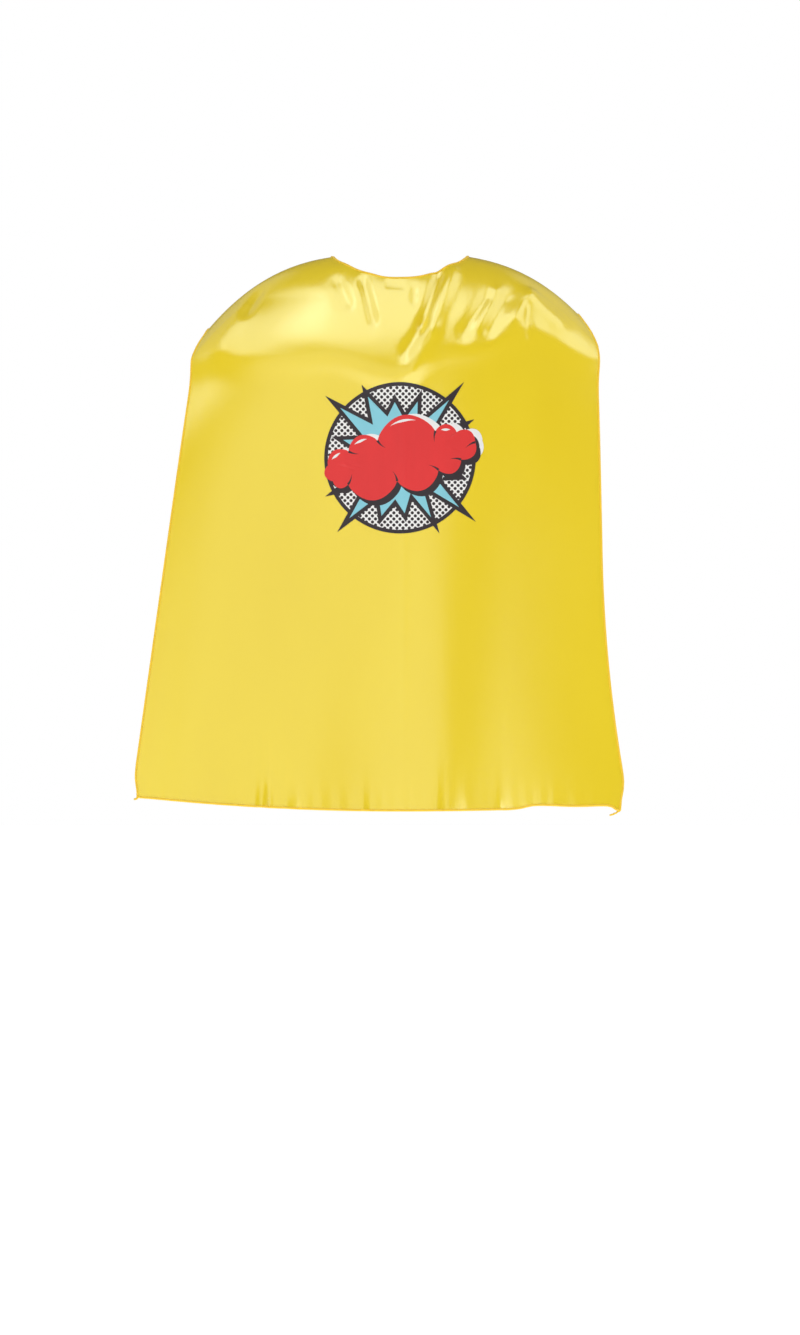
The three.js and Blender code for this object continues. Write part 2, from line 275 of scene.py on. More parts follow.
# Small gathers that the overlock pulls into the hem: x, height, half-width and how far up they reach
GATHERS = [
    (-168, 1.8, 3.5, 13), (-141, 3.6, 4.0, 24), (-134, -3.4, 3.0, 22), (-117, 2.4, 3.4, 18),
    (-104, -1.6, 3.5, 14), (-37, 2.0, 3.0, 14), (38, 2.6, 3.5, 20), (62, -1.8, 5.0, 15),
    (102, 2.0, 3.0, 18), (112, -1.8, 3.0, 12), (160, 1.2, 4.0, 12),
]

# Heights of the finest relief
HEM_RIPPLE = 0.25
NECK_PUCKER = 0.4
PACKET_CREASE = 0.45
PACKET_CREASE_X = 4
FAN_CREASE = 1.3


def bump_along(x, z, start, end, height, width):
    """A rounded ridge between two points, which fades past its ends."""
    (x0, z0), (x1, z1) = start, end
    along = np.array([x1 - x0, z1 - z0], float)
    length = np.hypot(*along)
    s = ((x - x0) * along[0] + (z - z0) * along[1]) / length
    off = ((x - x0) * along[1] - (z - z0) * along[0]) / length
    past = np.maximum(0, np.maximum(-s, s - length))
    return height * np.exp(-((off / width) ** 2) - (past / (1.3 * width)) ** 2)


def crest(x, z):
    """The rounded ledge along CREST: a long rise above it, and a short fall below it."""
    points = np.array(CREST, float)
    steps = (-CREST_BLUR, 0, CREST_BLUR)
    level = sum(np.interp(x + step, points[:, 0], points[:, 1]) for step in steps) / 3
    above = z - level
    rise = np.exp(-((np.maximum(0, above) / CREST_RISE) ** CREST_RISE_POWER))
    fall = np.exp(-((np.maximum(0, -above) / CREST_FALL) ** CREST_FALL_POWER))
    return CREST_HEIGHT * np.where(above > 0, rise, fall)


def fan(x, t, r, around):
    """Creases that fan out in front, from the closure to the shoulders."""
    aside = np.abs(around + 90)
    near = np.clip((aside - 28) / 14, 0, 1) * np.clip((84 - aside) / 14, 0, 1) * np.clip((r - 70) / 16, 0, 1)
    swing = np.sin(np.radians(aside * 9.5) + 1.1 * np.sin(x / 31 + r / 23))
    return FAN_CREASE * np.where(t < 0, near, 0) * swing


def waves(x, z):
    """The broad waves, which grow as the cloth hangs free."""
    hang = np.clip((HANG_START - z) / HANG_DROP, 0, 1) ** HANG_POWER
    return sum(hang * height * bell(x - middle - lean * (z - HEM_LEVEL), *widths)
               for middle, lean, height, *widths in WAVES)


def hem_gathers(x, z):
    """The gathers along the hem, and the fine ripple between them."""
    above = np.maximum(0, z - HEM_LEVEL)
    total = sum(height * np.exp(-(((x - middle) / width) ** 2) - above / reach)
                for middle, height, width, reach in GATHERS)
    near_hem = np.exp(-(((z - HEM_LEVEL) / 20) ** 2))
    return total + HEM_RIPPLE * near_hem * np.sin(x / 2.6 + 1.1 * np.sin(x / 19))


def neck_puckers(r, around):
    """Small puckers that the overlock pulls into the neckline."""
    near_neck = np.exp(-np.maximum(0, r - neck_reach(around)) / 13)
    return NECK_PUCKER * near_neck * np.sin(np.radians(around * 14) + 1.3 * np.sin(np.radians(around * 3)))


def packet_crease(x, z):
    """The sharp crease where the cape was folded in its packet."""
    return PACKET_CREASE * np.exp(-np.abs(x - PACKET_CREASE_X) / 3.0) * np.clip((-90 - z) / 60, 0, 1)


def folds(x, t):
    """How far the cloth stands off its smooth shape."""
    z = bare(x, t)[..., 2]
    r, around = np.hypot(x, t), np.degrees(np.arctan2(t, x))
    upper = sum(bump_along(x, z, *fold) for fold in FOLDS) + crest(x, z)
    upper = upper * np.clip((t - 30) / 40, 0, 1)
    lower = waves(x, z) + hem_gathers(x, z) + packet_crease(x, z)
    return upper + lower + fan(x, t, r, around) + neck_puckers(r, around)


def shifted(points):
    """The bottom corners curl in, and the hem rises beside its deepest wave."""
    x, y, z = np.moveaxis(points, -1, 0)
    corner_x, corner_z = half_width(HEM_LEVEL, x), HEM_LEVEL + by_side(x, "rise")
    curl = np.exp(-((corner_x - np.abs(x)) ** 2 + (z - corner_z) ** 2) / CURL_REACH**2)
    near_hem = np.exp(-np.maximum(0, z - HEM_LEVEL) / HEM_LIFT_REACH)
    lift = HEM_LIFT * bell(x - HEM_LIFT_X, *HEM_LIFT_WIDTHS) * near_hem
    inward, down = np.where(x < 0, *CURL_IN), np.where(x < 0, *CURL_DOWN)
    return np.stack([x - np.sign(x) * inward * curl, y - CURL_OUT * curl, z + lift - down * curl], -1)


def draped(x, t):
    """The worn shape, with its folds."""
    d = 0.5
    down = bare(x, t + d) - bare(x, t - d)
    across = bare(x + d, t) - bare(x - d, t)
    normal = unit(np.cross(down, across))
    return shifted(bare(x, t) + normal * folds(x, t)[..., None])


def on_cloth(x, t, lift=0.0):
    """A point of the cloth and its outward normal. lift is the distance from the smooth inner face."""
    x, t = np.broadcast_arrays(np.asarray(x, float), np.asarray(t, float))
    d = 1.0
    down = draped(x, t + d) - draped(x, t - d)
    across = draped(x + d, t) - draped(x - d, t)
    normal = unit(np.cross(down, across))
    return draped(x, t) + normal * np.asarray(lift, float)[..., None], normal


def place(angle, share, lift=0.0):
    """The same by angle, and by share of the way from the neckline to the outer edge.

    The outer tab rises off the inner one past its fold line, and the ends of both tabs are rounded.
    """
    angle, share = np.broadcast_arrays(np.asarray(angle, float), np.asarray(share, float))
    past = np.maximum(0, np.maximum(-FOLD_ANGLE - angle, angle - 180 - FOLD_ANGLE))
    end = np.clip((past - TAB_SWEEP + ROUND_SWEEP) / ROUND_SWEEP, 0, 1)
    inset = TAB_ROUND * (1 - np.sqrt(1 - end**2))
    r = neck_reach(angle) + inset + (cloth_reach(angle) - neck_reach(angle) - 2 * inset) * share
    s = np.clip((past - LIFT_START) / LIFT_SWEEP, 0, 1)
    outside = np.where(angle < 0, OUTER_LIFT * s * s * (3 - 2 * s), 0)
    return on_cloth(r * np.cos(np.radians(angle)), r * np.sin(np.radians(angle)), lift + outside)


# ---------------------------------------------------------------- mesh helpers


def make_mesh(name, points, faces, materials, uv=None, material_index=None):
    """A smooth-shaded piece from points in millimetres. uv is the place of each point on the flat cloth."""
    data = bpy.data.meshes.new(name)
    data.from_pydata((np.asarray(points) / 1000).tolist(), [], [tuple(f) for f in faces])
    for m in materials:
        data.materials.append(m)
    if material_index is not None:
        data.polygons.foreach_set("material_index", np.asarray(material_index, np.int32))
    if uv is not None:
        corners = np.zeros(len(data.loops), np.int32)
        data.loops.foreach_get("vertex_index", corners)
        layer = data.uv_layers.new(name="flat")
        layer.data.foreach_set("uv", (np.asarray(uv)[corners] / 1000).astype(np.float32).ravel())
    data.polygons.foreach_set("use_smooth", np.full(len(data.polygons), True))
    data.update()
    piece = bpy.data.objects.new(name, data)
    bpy.context.scene.collection.objects.link(piece)
    return piece


def grid_faces(m, n, start=0, wrap=False):
    """Quads of an m by n grid of points. With wrap, the last column joins the first."""
    i = np.arange(m - 1)[:, None]
    j = np.arange(n if wrap else n - 1)[None, :]
    k = (j + 1) % n
    quads = np.stack([i * n + j, i * n + k, (i + 1) * n + k, (i + 1) * n + j], -1)
    return quads.reshape(-1, 4) + start


def shell_faces(m, n):
    """Faces that close two m by n grids of points into a thin shell: first grid, second grid, rim."""
    count = m * n
    loop = rim_loop(m, n)
    after = np.roll(loop, -1)
    rim = np.stack([after, loop, loop + count, after + count], -1)
    return grid_faces(m, n)[:, ::-1], grid_faces(m, n, start=count), rim[:, ::-1]


def rim_loop(m, n):
    """The points round the rim of an m by n grid, in order."""
    ids = np.arange(m * n).reshape(m, n)
    return np.concatenate([ids[:, 0], ids[-1, 1:], ids[-2::-1, -1], ids[0, -2:0:-1]])


def two_faced(name, columns, shares, outside, inside):
    """A panel of the cloth: the satin face and the dull face, joined at their rims."""
    angle, share = np.meshgrid(columns, shares, indexing="ij")
    m, n = angle.shape
    outer = place(angle, share, MIDDLE + SATIN_THICK / 2)[0]
    inner = place(angle, share, MIDDLE - SATIN_THICK / 2)[0]
    r = neck_reach(angle) + (cloth_reach(angle) - neck_reach(angle)) * share
    flat = np.stack([r * np.cos(np.radians(angle)), r * np.sin(np.radians(angle))], -1).reshape(-1, 2)
    points = np.concatenate([outer.reshape(-1, 3), inner.reshape(-1, 3)])
    front, back, rim = shell_faces(m, n)
    faces = np.concatenate([front, back, rim])
    index = np.concatenate([np.zeros(len(front)), np.ones(len(back) + len(rim))])
    piece = make_mesh(name, points, faces, [outside, inside], np.concatenate([flat, flat]), index)
    mark_rim_sharp(piece, rim_loop(m, n), m * n)
    return piece


def mark_rim_sharp(piece, loop, layer):
    """Marks the rims of both faces of a shell as sharp. layer is the number of points in one face."""
    ends = np.zeros(len(piece.data.edges) * 2, np.int32)
    piece.data.edges.foreach_get("vertices", ends)
    a, b = ends.reshape(-1, 2).T
    on_rim = np.isin(a % layer, loop) & np.isin(b % layer, loop)
    sharp = piece.data.attributes.new("sharp_edge", "BOOLEAN", "EDGE")
    sharp.data.foreach_set("value", on_rim & ((a < layer) == (b < layer)))


def tube(name, path, normals, radius, sides, material, twist_pitch=None):
    """A round thread along a path. With twist_pitch it gets the slanting ribs of overlock stitches."""
    along = unit(np.gradient(path, axis=0))
    across = unit(np.cross(along, normals))
    up = np.cross(across, along)
    phi = np.linspace(0, 2 * math.pi, sides, endpoint=False)
    covered = length_along(path)
    r = np.full((len(path), sides), float(radius))
    if twist_pitch:
        turn = math.pi * covered[:, None] / twist_pitch + phi[None, :] / 2
        r = radius * (0.84 + 0.24 * np.abs(np.sin(turn)))
    ring = across[:, None] * np.cos(phi)[None, :, None] + up[:, None] * np.sin(phi)[None, :, None]
    points = path[:, None] + ring * r[..., None]
    m = len(path)
    faces = [tuple(f) for f in grid_faces(m, sides, wrap=True)]
    faces.append(tuple(range(sides - 1, -1, -1)))
    faces.append(tuple((m - 1) * sides + j for j in range(sides)))
    uv = np.stack(np.broadcast_arrays(covered[:, None], phi[None, :] * radius), -1).reshape(-1, 2)
    return make_mesh(name, points.reshape(-1, 3), faces, [material], uv)


def resample(path, normals, spacing):
    """The same path and normals at even steps of about spacing."""
    covered = length_along(path)
    at = run(0, covered[-1], max(2, int(covered[-1] / spacing)))

    def mix(values):
        return np.stack([np.interp(at, covered, values[:, k]) for k in range(3)], -1)

    return mix(path), unit(mix(normals))


# ---------------------------------------------------------------- materials


def new_material(name, color, roughness, **sockets):
    """A material with uniform values on its Principled shader. Sockets are named with underscores."""
    m = bpy.data.materials.new(name)
    m.use_nodes = True
    shader = m.node_tree.nodes["Principled BSDF"]
    shader.inputs["Base Color"].default_value = (*color, 1)
    shader.inputs["Roughness"].default_value = roughness
    for key, value in sockets.items():
        shader.inputs[key.replace("_", " ")].default_value = value
    return m, m.node_tree.nodes, m.node_tree.links, shader


def textured(nodes, links, kind, scale, stretch=(1, 1, 1), **settings):
    """A texture laid on the flat cloth. scale is in features to the metre."""
    where = nodes.new("ShaderNodeUVMap")
    where.uv_map = "flat"
    mapping = nodes.new("ShaderNodeMapping")
    mapping.inputs["Scale"].default_value = stretch
    links.new(where.outputs["UV"], mapping.inputs["Vector"])
    texture = nodes.new(kind)
    texture.inputs["Scale"].default_value = scale
    for key, value in settings.items():
        if hasattr(texture, key):
            setattr(texture, key, value)
        else:
            texture.inputs[key.replace("_", " ")].default_value = value
    links.new(mapping.outputs["Vector"], texture.inputs["Vector"])
    return texture.outputs["Fac"] if "Fac" in texture.outputs else texture.outputs["Distance"]


def add_bump(nodes, links, shader, height, strength, distance, before=None):
    bump = nodes.new("ShaderNodeBump")
    bump.inputs["Strength"].default_value = strength
    bump.inputs["Distance"].default_value = distance
    links.new(height, bump.inputs["Height"])
    if before is not None:
        links.new(before.outputs["Normal"], bump.inputs["Normal"])
    links.new(bump.outputs["Normal"], shader.inputs["Normal"])
    return bump


def color_between(nodes, links, shader, fac, low, high, span=(0.3, 0.7)):
    """Base colour that runs from low to high as fac runs over span."""
    ramp = nodes.new("ShaderNodeValToRGB")
    ramp.color_ramp.elements[0].position = span[0]
    ramp.color_ramp.elements[1].position = span[1]
    ramp.color_ramp.elements[0].color = (*low, 1)
    ramp.color_ramp.elements[1].color = (*high, 1)
    links.new(fac, ramp.inputs["Fac"])
    links.new(ramp.outputs["Color"], shader.inputs["Base Color"])


def satin_bumps(nodes, links, shader):
    """The slubs of the long floats, and the fine diagonal of a satin weave."""
    slubs = textured(nodes, links, "ShaderNodeTexNoise", 260, (1, 0.08, 1), Detail=3)
    first = add_bump(nodes, links, shader, slubs, 0.25, 0.0003)
    weave = textured(nodes, links, "ShaderNodeTexWave", 900, wave_type="BANDS", bands_direction="DIAGONAL")
    add_bump(nodes, links, shader, weave, 0.10, 0.0001, first)


def satin_material():
    m, nodes, links, shader = new_material(
        "yellow_satin", (0.97, 0.72, 0.012), 0.19, Specular_IOR_Level=0.95, IOR=1.9, Sheen_Weight=0.05,
        Sheen_Roughness=0.4, Anisotropic=0.3, Specular_Tint=(0.85, 1.0, 0.8, 1),
    )
    tone = textured(nodes, links, "ShaderNodeTexNoise", 9, (1, 0.4, 1), Detail=2)
    color_between(nodes, links, shader, tone, (0.95, 0.695, 0.008), (0.985, 0.735, 0.014))
    satin_bumps(nodes, links, shader)
    return m


def crepe_material():
    m, nodes, links, shader = new_material(
        "dull_satin_back", (0.80, 0.62, 0.09), 0.62, Specular_IOR_Level=0.35, Sheen_Weight=0.3,
    )
    tone = textured(nodes, links, "ShaderNodeTexNoise", 11, Detail=2)
    color_between(nodes, links, shader, tone, (0.76, 0.57, 0.07), (0.83, 0.66, 0.11))
    crepe = textured(nodes, links, "ShaderNodeTexNoise", 1300, Detail=2)
    add_bump(nodes, links, shader, crepe, 0.3, 0.0002)
    return m


def thread_material():
    m, nodes, links, shader = new_material(
        "gold_overlock_thread", (1.0, 0.64, 0.015), 0.5, Specular_IOR_Level=0.5, Sheen_Weight=0.25,
    )
    ply = textured(nodes, links, "ShaderNodeTexWave", 420, wave_type="BANDS", bands_direction="DIAGONAL")
    color_between(nodes, links, shader, ply, (0.96, 0.58, 0.01), (1.0, 0.70, 0.03), (0.1, 0.9))
    add_bump(nodes, links, shader, ply, 0.5, 0.0003)
    return m


def ink_material(name, color):
    """Transfer ink, thin enough for the satin's slubs to show through."""
    m, nodes, links, shader = new_material(name, color, 0.42, Specular_IOR_Level=0.45)
    tone = textured(nodes, links, "ShaderNodeTexNoise", 40, (1, 0.3, 1), Detail=3)
    color_between(nodes, links, shader, tone, tuple(0.93 * c for c in color), color)
    satin_bumps(nodes, links, shader)
    return m


def halftone_material(paper, ink):
    """White ink with a staggered grid of round dots."""
    m, nodes, links, shader = new_material("print_halftone", paper, 0.42, Specular_IOR_Level=0.45)
    where = nodes.new("ShaderNodeUVMap")
    where.uv_map = "flat"
    nearest = None
    for offset in (0.0, 0.5):
        cell = nodes.new("ShaderNodeVectorMath")
        cell.operation = "MULTIPLY_ADD"
        cell.inputs[1].default_value = (1000 / DOT_PITCH, 1000 / DOT_PITCH, 0)
        cell.inputs[2].default_value = (offset, offset, 0)
        links.new(where.outputs["UV"], cell.inputs[0])
        within = nodes.new("ShaderNodeVectorMath")
        within.operation = "FRACTION"
        links.new(cell.outputs[0], within.inputs[0])
        centred = nodes.new("ShaderNodeVectorMath")
        centred.operation = "DISTANCE"
        centred.inputs[1].default_value = (0.5, 0.5, 0)
        links.new(within.outputs[0], centred.inputs[0])
        if nearest is None:
            nearest = centred.outputs["Value"]
        else:
            least = nodes.new("ShaderNodeMath")
            least.operation = "MINIMUM"
            links.new(nearest, least.inputs[0])
            links.new(centred.outputs["Value"], least.inputs[1])
            nearest = least.outputs[0]
    edge = DOT_RADIUS / DOT_PITCH
    color_between(nodes, links, shader, nearest, ink, paper, (edge * 0.93, edge * 1.07))
    satin_bumps(nodes, links, shader)
    return m


def tape_material(name, color, grain):
    """Woven or piled tape. grain is in features to the metre."""
    m, nodes, links, shader = new_material(name, color, 0.75, Sheen_Weight=0.3)
    weave = textured(nodes, links, "ShaderNodeTexNoise", grain, Detail=4)
    color_between(nodes, links, shader, weave, tuple(0.85 * c for c in color), color)
    add_bump(nodes, links, shader, weave, 0.6, 0.0005)
    return m


# ---------------------------------------------------------------- cloth and edges

RIGHT_CORNER, LEFT_CORNER = corner_angle(1), corner_angle(-1)
TAB_END = -FOLD_ANGLE - TAB_SWEEP  # on the wearer's right; the left tab is its mirror image
THREAD_RADIUS = EDGE_RADIUS * 0.92
TAB_ROWS = 44

# The columns of the cloth stand closer near the bottom corners and along the hem, and its rows closer
# over the upper back and above the hem
CORNER_ZONE = 3.0
CAPE_COLUMNS = np.concatenate([
    run(-SPLIT_ANGLE, 0, 12),
    run(0, RIGHT_CORNER - CORNER_ZONE, 110)[1:],
    run(RIGHT_CORNER - CORNER_ZONE, RIGHT_CORNER, 26)[1:],
    run(RIGHT_CORNER, LEFT_CORNER, 200)[1:],
    run(LEFT_CORNER, LEFT_CORNER + CORNER_ZONE, 26)[1:],
    run(LEFT_CORNER + CORNER_ZONE, 180, 110)[1:],
    run(180, 180 + SPLIT_ANGLE, 12)[1:],
])
CAPE_ROWS = np.concatenate([run(0, 0.5, 56), run(0.5, 0.88, 20)[1:], run(0.88, 1, 20)[1:]])

# Thread tails: corner, way from the corner to the tip, and how far each sags on the way
TAILS = {
    "right": (RIGHT_CORNER, (-11, -2, -5), (-2.0, 0, -4.0)),
    "left": (LEFT_CORNER, (-3.5, -1, -2), (2.0, 0, -4.0)),
}
TAIL_RADIUS = 0.95
TAIL_WOBBLE = 0.35


def blend_back(piece):
    """Bakes the placement of a piece of the back into its points."""
    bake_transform(piece)


def blend_tab(piece):
    """Bakes the placement of a piece of a tab into its points."""
    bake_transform(piece)


def make_cloth(satin, crepe):
    """The back with the skirt in one sheet, and the two tabs."""
    cape = two_faced("cape_cloth", CAPE_COLUMNS, CAPE_ROWS, satin, crepe)
    blend_back(cape)
    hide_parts("back_panel", "skirt_panel")
    shares = run(0, 1, TAB_ROWS)
    tip = TAB_END + ROUND_SWEEP * (1 - np.sin(run(math.pi / 2, 0, 14)))
    outer_columns = np.concatenate([tip, run(tip[-1], -SPLIT_ANGLE, 70)[1:]])
    outer = two_faced("outer_tab_cloth", outer_columns, shares, satin, crepe)
    blend_tab(outer)
    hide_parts("outer_tab")
    inner = two_faced("inner_tab_cloth", 180 - outer_columns[::-1], shares, satin, crepe)
    blend_tab(inner)
    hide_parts("inner_tab")
    return cape, outer, inner


def overlock(name, angle, share, thread):
    """The rolled, overlocked edge along a run of the cloth's outline."""
    path, normals = place(angle, share, MIDDLE)
    path, normals = resample(path, normals, 0.33)
    piece = tube(name, path, normals, THREAD_RADIUS, 8, thread, twist_pitch=2.0)
    return piece


def make_edges(thread):
    """The overlocked edges of the neckline, the sides, the hem and both tabs."""
    fine = run(-SPLIT_ANGLE, 180 + SPLIT_ANGLE, 500)
    neck = overlock("neckline_overlock", fine, 0.0, thread)
    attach(neck, "shoulders")
    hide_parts("neckline_rolled_edge")
    right = overlock("right_side_overlock", run(-SPLIT_ANGLE, RIGHT_CORNER, 700), 1.0, thread)
    blend_back(right)
    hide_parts("right_side_rolled_edge", "right_skirt_rolled_edge")
    left = overlock("left_side_overlock", run(LEFT_CORNER, 180 + SPLIT_ANGLE, 700), 1.0, thread)
    blend_back(left)
    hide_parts("left_side_rolled_edge", "left_skirt_rolled_edge")
    hem = overlock("hem_overlock", run(RIGHT_CORNER, LEFT_CORNER, 900), 1.0, thread)
    blend_back(hem)
    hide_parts("hem_rolled_edge")
    edges = [neck, right, left, hem]
    for side, name in ((1, "outer_tab"), (-1, "inner_tab")):
        straight = run(-SPLIT_ANGLE, TAB_END + ROUND_SWEEP, 160)
        rounded = TAB_END + ROUND_SWEEP * (1 - np.sin(run(0, math.pi / 2, 60)[1:]))
        sweep = np.concatenate([straight, rounded])
        angle = np.concatenate([sweep, sweep[::-1]])
        share = np.concatenate([np.zeros(len(sweep)), np.ones(len(sweep))])
        piece = overlock(name + "_overlock", angle if side > 0 else 180 - angle, share, thread)
        blend_tab(piece)
        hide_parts(name + "_rolled_edge")
        edges.append(piece)
    return edges


def make_thread_tails(thread):
    """Short chains of thread left where the overlock runs off the bottom corners."""
    made = []
    s = run(0, 1, 60)[:, None]
    wobble = TAIL_WOBBLE * np.sin(22 * s + np.array([[0, 1.6, 0]])) * np.array([[1, 1, 0]])
    facing = np.tile([0.0, -1, 0], (len(s), 1))
    for side, (corner, reach, sag) in TAILS.items():
        start = place(corner, 1.0, MIDDLE)[0]
        path = start + s * np.array([reach]) + np.array([sag]) * (s * (1 - s)) + wobble
        piece = tube(side + "_thread_tail", path, facing, TAIL_RADIUS, 7, thread, twist_pitch=1.5)
        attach(piece, "skirt")
        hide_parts(side + "_corner_thread_tail")
        made.append(piece)
    return made


# ---------------------------------------------------------------- emblem

WHITE_INK = (0.86, 0.85, 0.83)
BLACK_INK = (0.030, 0.022, 0.026)
DOT_PITCH = 6.3
DOT_RADIUS = 1.65
RING_WIDTH = 3.8
BURST_POINTS = 16
BURST_TURN = 5
BURST_LINE = 2.0
BURST_TIP = 62
BURST_LONG = 30  # how much longer the points on the diagonals are
BURST_VALLEY = 45
CLOUD_LENGTH = 79
CLOUD_HEIGHT = 23
CLOUD_TILT = 12
CLOUD_LOBES = 11
LOBE_BULGE = 0.36
STROKE = 2.6
GLINT_LOBES = (1, 2, 3, 4)
CREASE_LOBES = (0, 2, 3, 4, 7, 8, 9, 10)
BLACK_SHADOW = (4.5, -5.5)
WHITE_SHADOW = (7.5, 1.0)
FILM_LIFT = 0.35
FILM_SPACING = 3.0
FILM_SPAN = 105


def circle(radius, count=150):
    a = np.radians(run(0, 360, count)[:-1])
    return radius * np.stack([np.cos(a), np.sin(a)], -1)


def burst():
    """Points of a burst, long on the diagonals, with valleys between them."""
    turn = np.arange(2 * BURST_POINTS)
    angle = BURST_TURN + turn * 180 / BURST_POINTS
    tip = BURST_TIP + BURST_LONG * np.abs(np.sin(np.radians(2 * angle))) ** 3
    valley = BURST_VALLEY + 4 * np.cos(np.radians(3 * angle))
    r = np.where(turn % 2 == 0, tip, valley)
    return r[:, None] * np.stack([np.cos(np.radians(angle)), np.sin(np.radians(angle))], -1)


def grown(polygon, distance):
    """The outline moved out by distance, with its corners kept sharp."""
    step = np.roll(polygon, -1, 0) - polygon
    outward = unit(np.stack([step[:, 1], -step[:, 0]], -1))
    both = outward + np.roll(outward, 1, 0)
    return polygon + distance * 2 * both / np.sum(both * both, -1, keepdims=True)


def tilted(points):
    """The points turned by the tilt of the cloud."""
    c, s = math.cos(math.radians(CLOUD_TILT)), math.sin(math.radians(CLOUD_TILT))
    return points @ np.array([[c, s], [-s, c]])


def lobe(k, inset=0.0, first=0.0, last=1.0, count=20):
    """One rounded lobe of the cloud, from one valley of its outline to the next."""
    valley = np.array([k, k + 1])
    turn = np.radians(360 / CLOUD_LOBES * (valley + 0.22 * np.sin(2.4 * valley)))
    (x0, y0), (x1, y1) = np.stack([CLOUD_LENGTH * np.cos(turn), CLOUD_HEIGHT * np.sin(turn)], -1)
    s = run(first, last, count)
    out = LOBE_BULGE * np.sin(math.pi * s) ** 0.7 - inset / math.hypot(x1 - x0, y1 - y0)
    return np.stack([x0 + (x1 - x0) * s + (y1 - y0) * out, y0 + (y1 - y0) * s - (x1 - x0) * out], -1)


def cloud(shift=(0, 0)):
    """The outline of the cloud, moved by shift."""
    return tilted(np.concatenate([lobe(k)[:-1] for k in range(CLOUD_LOBES)])) + shift


def glint(k):
    """A stroke inside one lobe, which tapers to a point at both ends."""
    outer = lobe(k, 4.5, 0.3, 0.75, 12)
    taper = STROKE * np.sin(math.pi * run(0, 1, 12))[:, None]
    middle = lobe(k, 18.0, 0.5, 0.5, 1)[:1]
    inner = outer + taper * unit(middle - outer)
    return tilted(np.concatenate([outer, inner[-2:0:-1]]))


def crease(k):
    """A hooked stroke that runs in from the valley between two lobes."""
    start = lobe(k)[0]
    inward = unit(-start * np.array([0.35, 1.0]))
    aside = np.array([-inward[1], inward[0]])
    s = run(0, 1, 12)[:, None]
    spine = start + inward * 11 * s + aside * 4 * s * s
    half = STROKE / 2 * (1 - s) * aside
    return tilted(np.concatenate([spine + half, (spine - half)[-2::-1]]))


def inside(points, polygon):
    """Whether each point is inside the polygon, by counting the edges that a ray from it crosses."""
    x, y = points[:, 0][:, None], points[:, 1][:, None]
    x0, y0 = polygon[:, 0], polygon[:, 1]
    x1, y1 = np.roll(x0, -1), np.roll(y0, -1)
    span = (y0 > y) != (y1 > y)
    cross = x < (x1 - x0) * (y - y0) / np.where(y1 == y0, 1e-9, y1 - y0) + x0
    return np.sum(span & cross, -1) % 2 == 1


def make_emblem():
    """One film, cut along every printed outline, so that each colour has a sharp edge."""
    inks = [
        ink_material("print_red", (0.78, 0.035, 0.035)),
        ink_material("print_black", BLACK_INK),
        ink_material("print_white", WHITE_INK),
        ink_material("print_cyan", (0.25, 0.62, 0.72)),
        halftone_material(WHITE_INK, BLACK_INK),
    ]
    red, black, white, cyan, halftone = range(len(inks))
    star = burst()
    # from the top layer down: outline and ink
    layers = [
        *((glint(k), white) for k in GLINT_LOBES),
        *((crease(k), black) for k in CREASE_LOBES),
        (cloud(), red),
        (cloud(BLACK_SHADOW), black),
        (cloud(WHITE_SHADOW), white),
        (grown(star, -BURST_LINE), cyan),
        (grown(star, BURST_LINE), black),
        (circle(EMBLEM_RADIUS - RING_WIDTH), halftone),
        (circle(EMBLEM_RADIUS), black),
    ]
    points, edges = [], []
    for outline, _ in layers:
        first = len(points)
        points += [Vector(p) for p in outline]
        count = len(outline)
        edges += [(first + k, first + (k + 1) % count) for k in range(count)]
    # points between the outlines let the film follow the cloth
    span = np.arange(-FILM_SPAN, FILM_SPAN, FILM_SPACING)
    points += [Vector((u + 0.1, v + 0.1)) for u in span for v in span if math.hypot(u, v) < FILM_SPAN - 1]
    verts, _, tris, *_ = delaunay_2d_cdt(points, edges, [], 0, 1e-4)
    flat = np.array([tuple(v) for v in verts])
    tris = np.array([t for t in tris if len(t) == 3])
    centre = flat[tris].mean(1)
    ink = np.full(len(tris), -1)
    for outline, which in layers:
        ink[(ink < 0) & inside(centre, outline)] = which
    tris, ink = tris[ink >= 0], ink[ink >= 0]
    used = np.unique(tris)
    renumber = np.zeros(len(flat), int)
    renumber[used] = np.arange(len(used))
    flat = flat[used]
    x, z = flat[:, 0], flat[:, 1] + EMBLEM_LEVEL
    at = on_cloth(x, t_at(x, z), MIDDLE + SATIN_THICK / 2 + FILM_LIFT)[0]
    film = make_mesh("emblem_print", at, renumber[tris], inks, flat, ink)
    blend_back(film)
    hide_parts("emblem_film")
    return film


# ---------------------------------------------------------------- closure and label

PATCH_LENGTH = 45
PATCH_WIDTH = 23
HOOK_COLUMNS = 30
HOOK_ROWS = 14
HOOK_SIDES = 4
HOOK_HEIGHTS = (0.25, -0.05, -0.28)
HOOK_LEAN = 0.007
HOOK_SIZE = (0.0042, 0.0082)
STITCH_MARGIN = 0.08
LABEL_WIDTH = 34
LABEL_LENGTH = 40
LABEL_TOP = NECK_RADIUS + NAPE_DIP + 5


def patch_place(i, j, lift):
    """A point of a patch: i runs along it and j across it, both from 0 to 1."""
    angle = -90 + PATCH_ANGLE * (2 * np.asarray(i) - 1)
    r = PATCH_REACH[0] + (PATCH_REACH[1] - PATCH_REACH[0]) * np.asarray(j)
    return on_cloth(r * np.cos(np.radians(angle)), r * np.sin(np.radians(angle)), lift)


